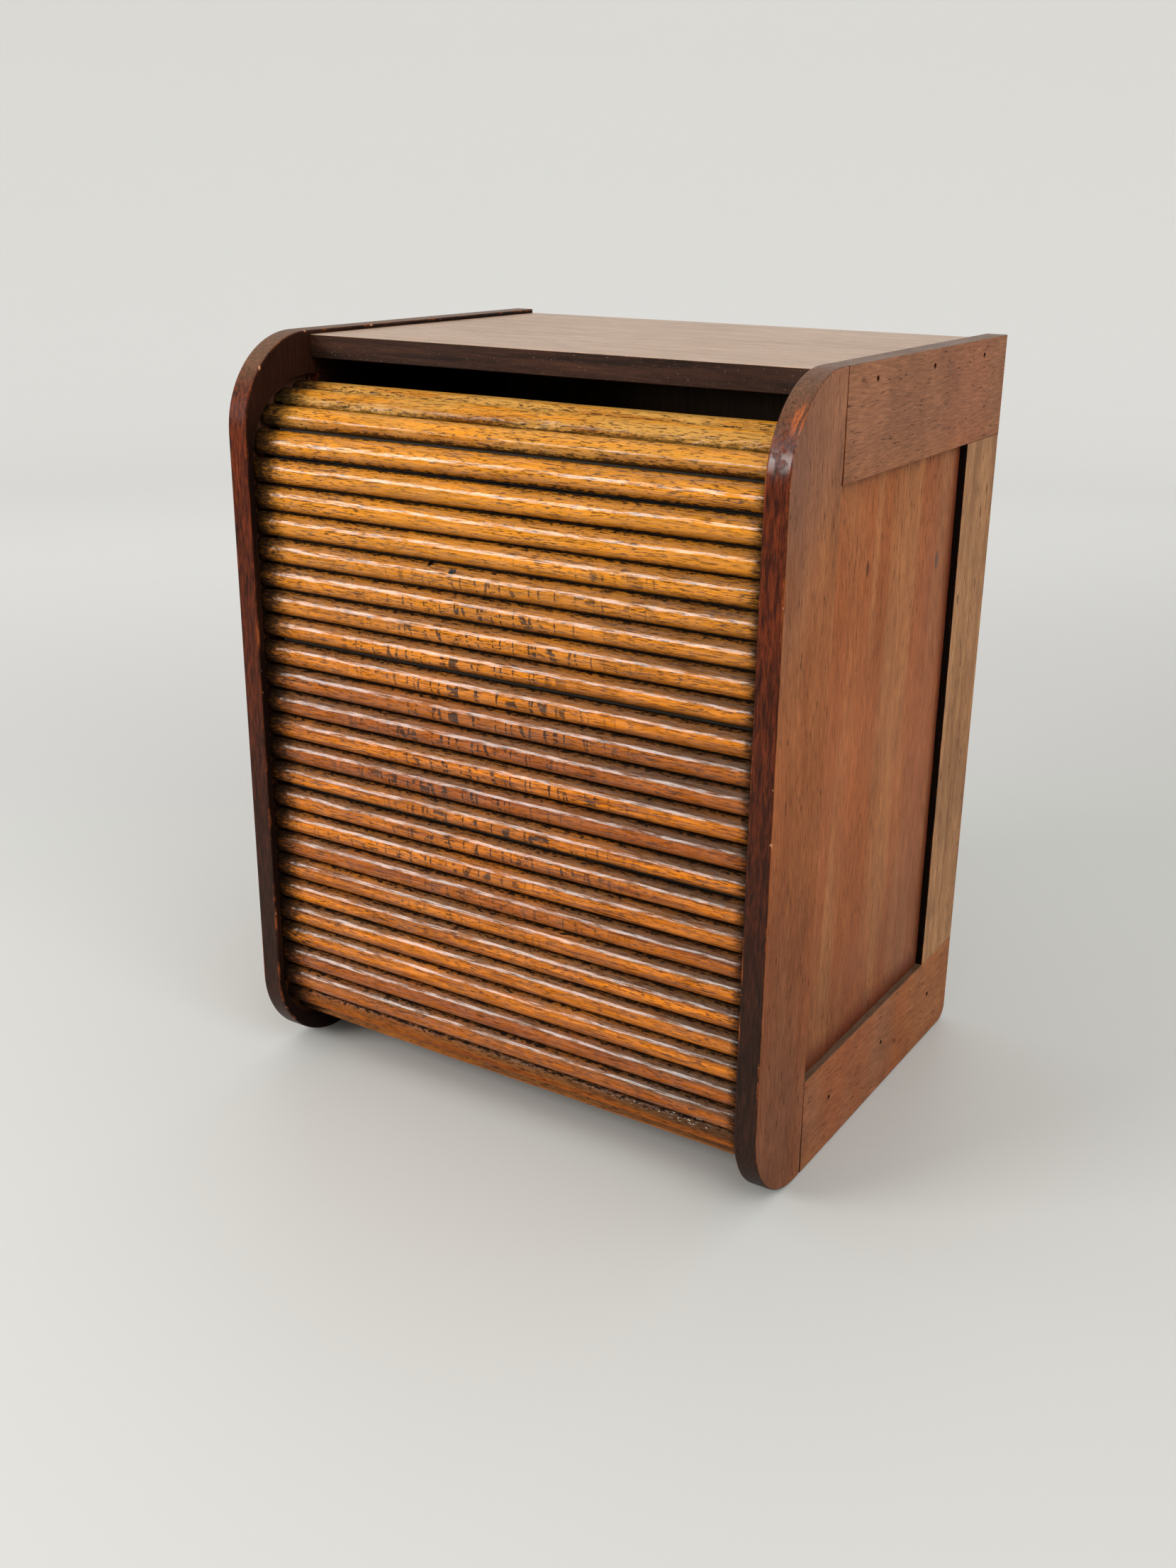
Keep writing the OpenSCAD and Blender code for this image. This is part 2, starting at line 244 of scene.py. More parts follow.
class Finish:
    """A material being mixed: each call adds one step and returns what it gives."""

    def __init__(self, name, **shader):
        self.material = bpy.data.materials.new(name)
        self.material.use_nodes = True
        self.tree = self.material.node_tree
        self.shader = next(n for n in self.tree.nodes if n.type == "BSDF_PRINCIPLED")
        for key, value in shader.items():
            self.shader.inputs[key.replace("_", " ")].default_value = value
        self.place = self.tree.nodes.new("ShaderNodeTexCoord")

    def step(self, kind, give, take, **settings):
        """One node: take fills its inputs with values or links, give is the output it returns."""
        node = self.tree.nodes.new(kind)
        for key, value in settings.items():
            setattr(node, key, value)
        for key, value in take.items():
            if isinstance(value, bpy.types.NodeSocket):
                self.tree.links.new(value, node.inputs[key])
            elif value is not None:
                node.inputs[key].default_value = value
        return node.outputs[give]

    def stretched(self, scale):
        """Object coordinates, scaled along X, Y and Z."""
        return self.step("ShaderNodeMapping", 0,
                         {"Vector": self.place.outputs["Object"], "Scale": scale})

    def noise(self, scale, detail=3.0, roughness=0.55, bend=0.0):
        """Cloudy noise on stretched coordinates, about 0.3 to 0.7."""
        return self.step("ShaderNodeTexNoise", 0,
                         {"Vector": self.stretched(scale), "Scale": 1.0, "Detail": detail,
                          "Roughness": roughness, "Distortion": bend})

    def cells(self, scale):
        """Distance to the nearest border between random cells."""
        return self.step("ShaderNodeTexVoronoi", 0,
                         {"Vector": self.stretched(scale), "Scale": 1.0},
                         feature="DISTANCE_TO_EDGE")

    def rise(self, value, low, high, start=0.0, end=1.0):
        """A smooth change from start to end as value goes from low to high."""
        return self.step("ShaderNodeMapRange", 0,
                         {0: value, 1: low, 2: high, 3: start, 4: end},
                         interpolation_type="SMOOTHSTEP")

    def calc(self, what, a, b=None, clamp=False):
        """One sum on one or two values."""
        return self.step("ShaderNodeMath", 0, {0: a, 1: b}, operation=what, use_clamp=clamp)

    def times(self, *values):
        """The product of several masks."""
        total = values[0]
        for value in values[1:]:
            total = self.calc("MULTIPLY", total, value)
        return total

    def most(self, *values):
        """The largest of several masks."""
        total = values[0]
        for value in values[1:]:
            total = self.calc("MAXIMUM", total, value)
        return total

    def mix(self, mask, a, b, blend="MIX"):
        """Colour a where mask is 0, b where it is 1."""
        return self.step("ShaderNodeMix", 2, {0: mask, 6: a, 7: b},
                         data_type="RGBA", blend_type=blend)

    def shade(self, colour, mask, low, high):
        """colour made darker or lighter, from times low to times high."""
        grey = self.rise(mask, 0.0, 1.0, low, high)
        return self.mix(1.0, colour, grey, "MULTIPLY")

    def attribute(self, name):
        """A value stored on the piece's points."""
        return self.step("ShaderNodeAttribute", "Fac", {}, attribute_name=name)

    def axis(self, source, index):
        """The X, Y or Z part of the Object or Normal coordinates, by index 0, 1 or 2."""
        return self.step("ShaderNodeSeparateXYZ", index, {0: self.place.outputs[source]})

    def spot(self, centre, size, soft=0.35):
        """1 within a small blot at centre, with its size along X, Y and Z."""
        scale = tuple(1 / s for s in size)
        moved = self.stretched(scale)
        far = self.step("ShaderNodeVectorMath", "Value",
                        {0: moved, 1: tuple(c * s for c, s in zip(centre, scale))},
                        operation="DISTANCE")
        return self.rise(far, 1.0 - soft, 1.0 + soft, 1.0, 0.0)

    def bumps(self, *layers):
        """Bumps of (height, depth in metres), one on top of the other."""
        normal = None
        for height, depth in layers:
            normal = self.step("ShaderNodeBump", 0,
                               {"Height": height, "Distance": depth, "Strength": 1.0,
                                "Normal": normal})
        self.tree.links.new(normal, self.shader.inputs["Normal"])

    def varnish(self, mask):
        """A coat of varnish as thick as the mask says."""
        self.tree.links.new(mask, self.shader.inputs["Coat Weight"])

    def done(self, colour, roughness):
        """The finished material."""
        self.tree.links.new(colour, self.shader.inputs["Base Color"])
        self.tree.links.new(roughness, self.shader.inputs["Roughness"])
        return self.material


GRAIN = {"X": 0, "Y": 1, "Z": 2}


def along(grain, length, across):
    """Scale that gives marks this long along the grain and this wide across it, in metres."""
    scale = [1 / across] * 3
    scale[GRAIN[grain]] = 1 / length
    return tuple(scale)


# Blots as centre and size: where the right stile's rounded edge kept a shine, where it is
# scratched, the dents in the right side, the knot and the bluish mark on its panel, the worm
# and nail holes in the slats, and the bruise on one slat
GLOSS = (0.1615, -0.1334, 0.3983), (0.02, 0.009, 0.010)
SCRATCHED = (0.1660, -0.1258, 0.4108), (0.004, 0.0075, 0.0075)
DENTS = (((0.1680, 0.1258, 0.3453), (0.02, 0.0006, 0.0030)),
         ((0.1680, 0.1184, 0.3329), (0.02, 0.0006, 0.0034)),
         ((0.1680, 0.1201, 0.2912), (0.02, 0.0007, 0.0032)),
         ((0.1680, 0.0932, 0.2864), (0.02, 0.0006, 0.0028)))
KNOT = (0.1636, -0.0325, 0.3264), (0.02, 0.0016, 0.0042)
BLUISH_MARK = (0.1636, 0.0652, 0.3134), (0.02, 0.0022, 0.0048)
SLAT_HOLES = (((-0.0398, -0.131, 0.3210), (0.0014, 0.02, 0.0012)),
              ((-0.0246, -0.131, 0.3187), (0.0015, 0.02, 0.0013)),
              ((-0.0228, -0.131, 0.3192), (0.0010, 0.02, 0.0009)),
              ((-0.1078, -0.1276, 0.4035), (0.0009, 0.0012, 0.02)))
BRUISE = (-0.0115, -0.131, 0.2442), (0.0045, 0.02, 0.0018)
# From one thread of the canvas to the next but one, along its width and its length
CANVAS_PITCH = 0.0011


def case_wood(name, grain, worn=0.0):
    """Stained case wood: streaked outer faces, dark edges and near-black inner faces."""
    looks = bpy.context.scene.case_looks
    f = Finish(name, Specular_IOR_Level=0.05, Coat_Roughness=0.22)
    back, height = f.axis("Object", 1), f.axis("Object", 2)
    # The grooved and inner faces lie inside this distance from the middle, the outer ones outside
    outside = f.rise(f.calc("ABSOLUTE", f.axis("Object", 0)), 0.1600, 0.1625)
    flat = f.rise(f.calc("ABSOLUTE", f.axis("Normal", 0)), 0.55, 0.95)
    streaks = f.noise(along(grain, 0.10, 0.0085), 5.0, 0.72)
    threads = f.noise(along(grain, 0.014, 0.0006), 3.0, 0.65)
    mottle = f.noise(along(grain, 0.011, 0.0015), 4.0, 0.7)
    clouds = f.noise((9, 9, 9), 3.0, 0.5)
    blots = f.noise((26, 34, 20), 4.0, 0.6)
    pores = f.noise(along(grain, 0.0075, 0.0009), 2.0, 0.5)
    fleck = f.rise(pores, 0.60, 0.68)
    few = f.rise(f.noise(along(grain, 0.02, 0.008), 2.0), 0.45, 0.62)
    face = f.mix(f.rise(streaks, 0.05, 0.90), looks.face_dark, looks.face_light)
    face = f.mix(f.rise(clouds, 0.42, 0.7, 0.0, 0.45), face, lit(132, 94, 78))
    face = f.mix(f.rise(f.noise((5, 14, 4), 2.0), 0.4, 0.65, 0.0, 0.5), face, lit(156, 82, 42))
    face = f.mix(f.rise(height, 0.34, 0.40, 0.0, 0.42), face, lit(136, 102, 86))
    front = f.times(f.rise(back, -0.085, -0.132), f.rise(height, 0.24, 0.40))
    face = f.mix(f.times(front, f.rise(blots, 0.3, 0.6, 0.35, 0.85)), face, lit(124, 84, 66))
    soiled = f.times(f.rise(back, -0.07, -0.10), f.rise(height, 0.30, 0.02), 0.55)
    face = f.mix(soiled, face, lit(84, 46, 32))
    # Stained edges, nearly black low down; their darkness is partly dark stain and partly painted
    # shade, as the front edges stand less lit than the faces
    edge = f.mix(f.rise(mottle, 0.3, 0.68), looks.edge_dark, looks.edge_light)
    low = f.rise(height, 0.38, 0.08, 0.0, 0.9)
    edge = f.mix(f.times(low, f.rise(clouds, 0.25, 0.6, 0.75, 1.0)), edge, lit(38, 27, 22))
    inner = f.mix(f.rise(clouds, 0.5, 0.72, 0.0, 0.7), looks.inner_tone, lit(56, 30, 18))
    sides = f.mix(outside, inner, face)
    # The rear stile, between the rails, stayed tan
    tan = f.mix(f.rise(streaks, 0.3, 0.7), lit(142, 100, 66), lit(178, 134, 94))
    sides = f.mix(f.times(f.rise(back, 0.0868, 0.0872), outside, f.rise(height, 0.376, 0.374),
                          f.rise(height, 0.056, 0.058), 0.85), sides, tan)
    # The rear stile's front-facing edge beside the recessed panel, painted near black: partly dark
    # stain, partly painted shade of the recess
    inward = f.times(f.rise(f.axis("Normal", 1), -0.5, -0.8), f.rise(back, 0.08, 0.085))
    edge = f.mix(inward, edge, lit(12, 7, 5))
    # Upward-facing edges lighter and greyer: partly dust, partly a painted highlight
    dust_and_sheen = f.times(f.rise(f.axis("Normal", 2), 0.35, 0.8), f.rise(clouds, 0.25, 0.5, 0.3, 0.7))
    edge = f.mix(dust_and_sheen, edge, lit(112, 86, 66))
    colour = f.mix(flat, edge, sides)
    colour = f.shade(f.shade(colour, threads, 0.5, 1.45), mottle, 0.62, 1.36)
    colour = f.shade(colour, blots, 0.74, 1.23)
    colour = f.mix(f.times(fleck, few, 0.8), colour, lit(52, 26, 16))
    if worn:
        rub = f.rise(f.noise((90, 90, 40), 4.0, 0.7), 0.50, 0.66)
        colour = f.mix(f.times(rub, worn), colour, looks.worn_tone)
        chip = f.rise(f.noise((160, 160, 120), 3.0, 0.6), 0.66, 0.72)
        colour = f.mix(f.times(chip, 0.8), colour, lit(198, 138, 96))
    dents = f.most(*(f.spot(*dent) for dent in DENTS))
    colour = f.mix(f.times(dents, 0.85), colour, lit(40, 20, 12))
    torn = f.times(f.spot(*SCRATCHED, 0.6), f.calc("SUBTRACT", 1.0, flat),
                   f.rise(f.noise((620, 90, 140), 3.0, 0.6), 0.50, 0.56))
    colour = f.mix(f.times(torn, 0.75), colour, lit(176, 92, 48))
    rough = f.calc("ADD", f.rise(clouds, 0.35, 0.65, 0.34, 0.46), f.times(flat, 0.14))
    # The edges keep some varnish, the flat faces are rubbed dull
    gloss = f.times(f.spot(*GLOSS, 0.6),
                    f.rise(f.noise((190, 190, 190), 3.0, 0.6), 0.38, 0.52, 0.3, 1.0))
    f.varnish(f.calc("SUBTRACT", f.rise(gloss, 0.0, 1.0, 0.05, 0.95), flat, clamp=True))
    f.bumps((threads, 0.00014), (fleck, -0.00014), (mottle, 0.00012))
    return f.done(colour, rough)


def panel_wood():
    """Redder side panels, darker towards the rear stile and the bottom rail, where painted shade
    lies along them.
    """
    f = Finish("panel wood", Specular_IOR_Level=0.07)
    back, height = f.axis("Object", 1), f.axis("Object", 2)
    streaks = f.noise(along("Z", 0.12, 0.012), 5.0, 0.72)
    threads = f.noise(along("Z", 0.014, 0.0006), 3.0, 0.65)
    pores = f.noise(along("Z", 0.008, 0.0009), 2.0, 0.5)
    clouds = f.noise((7, 7, 7), 3.0)
    mottle = f.noise(along("Z", 0.011, 0.0015), 4.0, 0.7)
    blots = f.noise((20, 30, 16), 4.0, 0.6)
    fleck = f.times(f.rise(pores, 0.60, 0.68), f.rise(clouds, 0.4, 0.6, 0.25, 1.0))
    colour = f.mix(f.rise(streaks, 0.02, 0.92), lit(138, 82, 50), lit(182, 120, 74))
    colour = f.mix(f.rise(f.noise((5, 30, 3), 2.0), 0.42, 0.62, 0.0, 0.6), colour,
                   lit(152, 76, 36))
    colour = f.mix(f.rise(back, 0.015, 0.085, 0.0, 0.25), colour, lit(132, 98, 84))
    # Painted shade in the recess beside the rear stile and above the bottom rail
    edge = f.most(f.rise(back, 0.076, 0.0875), f.rise(height, 0.075, 0.058))
    colour = f.mix(f.times(edge, 0.8), colour, lit(96, 34, 18))
    colour = f.mix(f.times(f.spot(*KNOT), 0.75), colour, lit(52, 28, 20))
    colour = f.mix(f.times(f.spot(*BLUISH_MARK), 0.7), colour, lit(92, 78, 76))
    inside = f.rise(f.calc("ABSOLUTE", f.axis("Object", 0)), 0.1618, 0.1606)
    colour = f.mix(inside, colour, lit(128, 92, 62))
    colour = f.shade(f.shade(colour, threads, 0.52, 1.44), mottle, 0.66, 1.32)
    colour = f.shade(colour, blots, 0.74, 1.24)
    colour = f.mix(f.rise(height, 0.20, 0.06, 0.0, 0.35), colour, lit(78, 42, 28))
    colour = f.mix(f.times(fleck, 0.75), colour, lit(58, 26, 15))
    f.bumps((threads, 0.0001), (fleck, -0.0001), (streaks, 0.00008))
    return f.done(colour, f.rise(clouds, 0.3, 0.7, 0.42, 0.58))


def top_wood():
    """Top board: greyed and rubbed above, its pale top partly a painted reflection of the wall,
    dark stained along its front edge.
    """
    f = Finish("top wood", Specular_IOR_Level=0.1, Coat_Roughness=0.3)
    up = f.rise(f.axis("Normal", 2), 0.3, 0.8)
    f.varnish(f.times(up, 0.4))
    streaks = f.noise(along("X", 0.12, 0.006), 6.0, 0.72, 0.2)
    threads = f.noise(along("X", 0.016, 0.0006), 3.0, 0.65)
    mottle = f.noise(along("X", 0.02, 0.0017), 4.0, 0.7)
    pores = f.rise(f.noise(along("X", 0.007, 0.0008), 2.0, 0.5), 0.62, 0.69)
    clouds = f.noise((11, 16, 9), 3.0)
    dust = f.rise(f.noise((900, 900, 900), 1.0), 0.70, 0.76)
    # The top's pale colours are partly greyed wood and partly a painted reflection of the pale
    # wall
    top = f.mix(f.rise(streaks, 0.12, 0.86), lit(126, 90, 66), lit(188, 152, 120))
    top = f.mix(f.rise(clouds, 0.4, 0.65, 0.0, 0.6), top, lit(178, 150, 128))
    edge = f.mix(f.rise(streaks, 0.35, 0.68), lit(34, 19, 12), lit(62, 37, 25))
    edge = f.mix(f.times(dust, 0.25), edge, lit(150, 128, 110))
    colour = f.mix(up, edge, top)
    colour = f.shade(f.shade(colour, threads, 0.55, 1.4), mottle, 0.6, 1.38)
    colour = f.mix(f.times(pores, 0.6), colour, lit(64, 40, 28))
    f.bumps((threads, 0.0001), (mottle, 0.0001))
    rough = f.calc("SUBTRACT", f.rise(clouds, 0.3, 0.7, 0.6, 0.7), f.times(up, 0.24))
    return f.done(colour, rough)


def plain_inner_wood(name, grain, stain=0.0):
    """Unvarnished inside boards, dusty and dry, or darkened by stain."""
    f = Finish(name, Specular_IOR_Level=0.25)
    streaks = f.noise(along(grain, 0.15, 0.006), 4.0, 0.6, 0.6)
    threads = f.noise(along(grain, 0.025, 0.0007), 3.0, 0.6)
    mottle = f.noise(along(grain, 0.022, 0.0018), 4.0, 0.7)
    clouds = f.noise((8, 8, 8), 3.0)
    colour = f.mix(f.rise(streaks, 0.1, 0.9), lit(122, 86, 56), lit(182, 142, 98))
    colour = f.mix(f.rise(clouds, 0.45, 0.7, 0.0, 0.5), colour, lit(96, 70, 50))
    colour = f.shade(f.shade(colour, threads, 0.6, 1.32), mottle, 0.62, 1.36)
    if stain:
        colour = f.mix(stain, colour, lit(26, 16, 10))
    f.bumps((threads, 0.00014), (mottle, 0.00012))
    return f.done(colour, f.rise(clouds, 0.3, 0.7, 0.62, 0.78))


def slat_wood():
    """Varnished amber slats: grime and painted shade in the notches and at the ends, painted shade
    on the lower slopes, crazed varnish, flecks.
    """
    looks = bpy.context.scene.curtain_looks
    f = Finish("slat wood", Specular_IOR_Level=0.05, Coat_Roughness=0.115, Coat_IOR=1.5)
    across, tone = f.attribute("across"), f.attribute("tone")
    crazed, worn = f.attribute("crazed"), f.attribute("worn")
    right, height = f.axis("Object", 0), f.axis("Object", 2)
    off_middle = f.calc("ABSOLUTE", across)
    streaks = f.noise(along("X", 0.07, 0.0028), 4.0, 0.62, 0.5)
    threads = f.noise(along("X", 0.016, 0.00055), 3.0, 0.62)
    pores = f.noise(along("X", 0.0055, 0.00065), 2.0, 0.5)
    dashes = f.noise(along("X", 0.020, 0.0011), 3.0, 0.6)
    patchy = f.noise(along("X", 0.016, 0.0014), 4.0, 0.7)
    clouds = f.noise((16, 30, 30), 3.0)
    ragged = f.noise((240, 700, 700), 3.0, 0.65)
    # Wood: amber with brown streaks, each slat a little lighter or redder
    colour = f.mix(f.rise(streaks, 0.30, 0.70), looks.brown, looks.amber)
    colour = f.mix(f.rise(tone, 0.25, 1.0, 0.0, 0.7), colour, lit(128, 58, 10))
    # Higher up the varnish has stayed golden
    colour = f.mix(f.rise(height, 0.21, 0.37, 0.0, 0.55), colour, lit(216, 144, 30))
    colour = f.shade(colour, threads, 0.5, 1.58)
    # Upper slopes gathered dust under the varnish
    upper = f.rise(across, -0.15, -0.75)
    handled = f.times(f.rise(worn, 0.0, 1.0, 1.0, 0.15), f.rise(height, 0.40, 0.24, 0.35, 1.0))
    colour = f.mix(f.times(upper, f.rise(clouds, 0.3, 0.6, 0.45, 0.85), handled), colour,
                   lit(104, 70, 40))
    sooty = f.times(f.rise(right, 0.03, 0.13), f.rise(across, -0.2, -0.6), handled, 0.6)
    colour = f.mix(sooty, colour, lit(52, 40, 28))
    # Lower slope of each bead darkened: painted shade
    lower = f.rise(across, 0.25, 0.95)
    colour = f.mix(f.times(lower, 0.62), colour, lit(104, 52, 16))
    grey = f.times(worn, f.rise(f.noise((14, 120, 120), 4.0, 0.6), 0.34, 0.58))
    colour = f.mix(grey, colour, looks.greyed)
    fleck = f.times(f.rise(pores, 0.565, 0.635), f.rise(clouds, 0.35, 0.6, 0.55, 1.0))
    colour = f.mix(f.times(fleck, 0.85), colour, lit(70, 34, 12))
    colour = f.mix(f.times(f.rise(dashes, 0.60, 0.67), 0.7), colour, lit(62, 32, 14))
    # Varnish crazed by flexing: short cracks across the slats
    cracks = f.rise(f.cells((120, 6, 14)), 0.06, 0.03)
    cracks = f.times(cracks, crazed, f.rise(f.noise((150, 400, 400), 2.0), 0.42, 0.52),
                     f.rise(across, -0.45, -0.2), f.rise(across, 0.85, 0.6))
    colour = f.mix(f.times(cracks, 0.9), colour, lit(40, 20, 8))
    # Grime and painted shade: the notches between the slats and the slats' ends are darkened
    # partly by grime and partly as painted shade; the chips by grime
    toward_notch = f.calc("ADD", off_middle, f.rise(ragged, 0.0, 1.0, -0.34, 0.34))
    notch = f.times(f.rise(toward_notch, 0.88, 1.04), f.rise(worn, 0.0, 1.0, 1.0, 0.6))
    end = f.most(f.rise(right, -0.118, -0.156, 0.0, 0.96),
                 f.rise(right, 0.138, 0.155, 0.0, 0.96))
    ends = f.rise(f.calc("ADD", end, f.rise(ragged, 0.0, 1.0, -0.3, 0.3)), 0.35, 1.0)
    chips = f.times(worn, f.rise(f.noise((110, 420, 420), 3.0, 0.65), 0.60, 0.66),
                    f.rise(off_middle, 0.45, 0.75))
    colour = f.mix(f.times(f.most(notch, ends, chips), 0.97), colour, looks.grime_and_shade)
    # Old worm and nail holes
    holes = f.most(*(f.spot(*hole, 0.2) for hole in SLAT_HOLES))
    colour = f.mix(holes, colour, lit(12, 7, 4))
    colour = f.mix(f.times(f.spot(*BRUISE, 0.4), 0.6), colour, lit(62, 34, 18))
    # Frayed threads of the canvas caught in the lowest gap
    fray = f.times(f.attribute("frayed"), f.rise(f.noise((330, 900, 1300), 3.0, 0.7), 0.63, 0.66))
    colour = f.mix(fray, colour, lit(226, 220, 208))
    shine = f.calc("ADD", f.rise(clouds, 0.3, 0.7, 0.40, 0.52), f.times(worn, 0.15))
    shine = f.calc("ADD", shine, f.times(f.most(notch, ends), 0.3))
    grain = f.noise(along("X", 0.0022, 0.00035), 2.0, 0.6)
    f.bumps((threads, 0.00020), (grain, 0.00018), (fleck, -0.00025), (cracks, -0.0003),
            (holes, -0.001))
    # Patchy varnish, gone where there is grime, painted shade and wear, and on the slats next to
    # the floor
    kept = f.calc("SUBTRACT", 1.0, f.most(notch, ends, chips, f.times(worn, 0.8)), clamp=True)
    f.varnish(f.times(kept, f.rise(patchy, 0.36, 0.60, 0.06, 0.95),
                      f.rise(height, 0.0435, 0.0475, 0.1, 1.0)))
    return f.done(colour, shine)


def canvas_cloth():
    """Plain-woven canvas, dusty, with its threads at their real width."""
    looks = bpy.context.scene.curtain_looks
    f = Finish("canvas", Specular_IOR_Level=0.1, Sheen_Weight=0.25)
    pitch = 2 * math.pi / CANVAS_PITCH
    warp = f.calc("SINE", f.calc("MULTIPLY", f.attribute("u_thread"), pitch))
    weft = f.calc("SINE", f.calc("MULTIPLY", f.attribute("v_thread"), pitch))
    weave = f.rise(f.calc("MULTIPLY", warp, weft), -1.0, 1.0)
    slub = f.noise((300, 300, 300), 3.0)
    stain = f.noise((22, 22, 22), 3.0)
    colour = f.mix(f.calc("MULTIPLY", weave, f.rise(slub, 0.2, 0.8, 0.6, 1.0)),
                   looks.cloth_dark, looks.cloth_light)
    colour = f.mix(f.rise(stain, 0.5, 0.7, 0.0, 0.55), colour, lit(96, 76, 52))
    # Its outer side, behind the slats, took the dirt and stain that ran in between them
    from_middle = f.step("ShaderNodeVectorMath", 0, {0: f.place.outputs["Object"],
                                                     1: (0.0, 0.0, 0.21)}, operation="SUBTRACT")
    outward = f.step("ShaderNodeVectorMath", "Value", {0: from_middle,
                                                       1: f.place.outputs["Normal"]},
                     operation="DOT_PRODUCT")
    colour = f.mix(f.rise(outward, -0.10, -0.05, 0.0, 0.94), colour, looks.grime_and_shade)
    f.bumps((weave, 0.0002), (slub, 0.0001))
    return f.done(colour, f.rise(stain, 0.3, 0.7, 0.8, 0.95))


def nail_steel():
    """Rusted, punched nails."""
    f = Finish("nail steel", Metallic=0.6)
    rust = f.noise((2600, 2600, 2600), 3.0)
    colour = f.mix(f.rise(rust, 0.4, 0.62), lit(30, 24, 21), lit(74, 44, 30))
    f.bumps((rust, 0.0001))
    return f.done(colour, f.rise(rust, 0.3, 0.7, 0.5, 0.8))


# --- Pieces of the case ----------------------------------------------------


def outline_distance(y, z):
    """How far points lie inside a side's outline: a rectangle with three rounded corners."""
    (_, front, bottom), (_, rear, top) = CAD_BOX
    inside = np.minimum.reduce([y - front, rear - y, z - bottom, top - z])
    # Each corner: its place, which way the box lies from it, and its radius
    for corner_y, corner_z, in_y, in_z, radius in ((front, top, 1, -1, FRONT_CORNER),
                                                   (front, bottom, 1, 1, FRONT_CORNER),
                                                   (rear, bottom, -1, 1, REAR_FOOT)):
        past_y = radius - (y - corner_y) * in_y
        past_z = radius - (z - corner_z) * in_z
        inside = np.where((past_y > 0) & (past_z > 0), radius - np.hypot(past_y, past_z), inside)
    return inside


def planed_copy(node, name, materials, edge, outline=0.0, shift=None):
    """A copy of a CAD node with its sharp edges rounded, more so along a side's outline.

    Each edge's share of the rounding goes into its bevel weight, worked out for all edges
    at once from their ends, their lengths and the angle between their faces.
    """
    mesh = frame["nodes"][node].data.copy()
    mesh.name = name
    work = bmesh.new()
    work.from_mesh(mesh)
    bmesh.ops.remove_doubles(work, verts=work.verts, dist=2e-5)
    bmesh.ops.dissolve_limit(work, angle_limit=math.radians(0.6), verts=work.verts,
                             edges=work.edges)
    ends = np.array([[v.co[:] for v in e.verts] for e in work.edges])
    sharp = np.array([e.calc_face_angle(0.0) for e in work.edges]) > SHARP_BEND
    long = np.linalg.norm(ends[:, 0] - ends[:, 1], axis=1) > 0.004
    weight = np.where(sharp & long, edge / max(outline, edge), 0.0)
    if outline:
        off_rim = np.abs(outline_distance(ends[:, :, 1], ends[:, :, 2])).max(1)
        level = np.abs(ends[:, 0, 0] - ends[:, 1, 0]) < 1e-4
        weight[sharp & level & (off_rim < 4e-4)] = 1.0
    layer = work.edges.layers.float.new("bevel_weight_edge")
    for e, w in zip(work.edges, weight):
        e[layer] = float(w)
    work.to_mesh(mesh)
    work.free()
    if shift is not None:
        points = shift(mesh_points(mesh)).astype(np.float32)
        mesh.vertices.foreach_set("co", points.ravel())
    mesh.materials.clear()
    for material in materials:
        mesh.materials.append(material)
    mesh.polygons.foreach_set("material_index", np.zeros(len(mesh.polygons), np.int32))
    mesh.shade_smooth()
    mesh.set_sharp_from_angle(angle=SHADED_BEND)
    piece = bpy.data.objects.new(name, mesh)
    bpy.context.scene.collection.objects.link(piece)
    bevel = piece.modifiers.new("rounded edges", "BEVEL")
    bevel.limit_method, bevel.width, bevel.segments = "WEIGHT", max(outline, edge), 3
    bevel.use_clamp_overlap, bevel.material = False, len(materials) - 1
    shading = piece.modifiers.new("flat faces", "WEIGHTED_NORMAL")
    shading.keep_sharp, shading.weight = True, 100
    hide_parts(node)
    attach(piece, NODE_BODY[node])
    return piece


def cracked(joint_y, low, high, opening):
    """Shifts a rail's front end back by opening at its lower end, nothing at its upper end."""
    def shift(points):
        near = np.abs(points[:, 1] - joint_y) < 2e-4
        fall = np.clip((high - points[:, 2]) / (high - low), 0, 1)
        points[:, 1] += np.where(near & (points[:, 0] > 0), opening * fall, 0)
        return points
    return shift


class BREADBOX_OT_side_frames(bpy.types.Operator):
    """Stiles and rails of both sides, with worn edges and two cracked joints."""

    bl_idname = "breadbox.side_frames"
    bl_label = "Side frames"

    def execute(self, context):
        looks = context.scene.case_looks
        woods = {}
        for grain in "YZ":
            woods[grain] = (case_wood(f"case wood {grain}", grain),
                            case_wood(f"worn case wood {grain}", grain, worn=0.55))
        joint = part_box("right_front_stile")[1][1]
        for side in SIDES:
            for member in MEMBERS:
                grain = "Z" if member.endswith("stile") else "Y"
                node = f"{side}_{member}"
                low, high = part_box(node)
                shift = None
                if node == "right_bottom_rail":
                    shift = cracked(joint, low[2], high[2], looks.crack_open)
                if node == "right_top_rail":
                    shift = cracked(joint, low[2], low[2] + 0.03, looks.crack_open * 0.7)
                piece = planed_copy(node, f"{node}_wood", woods[grain], looks.edge_round,
                                    looks.outline_round, shift)
        return {"FINISHED"}


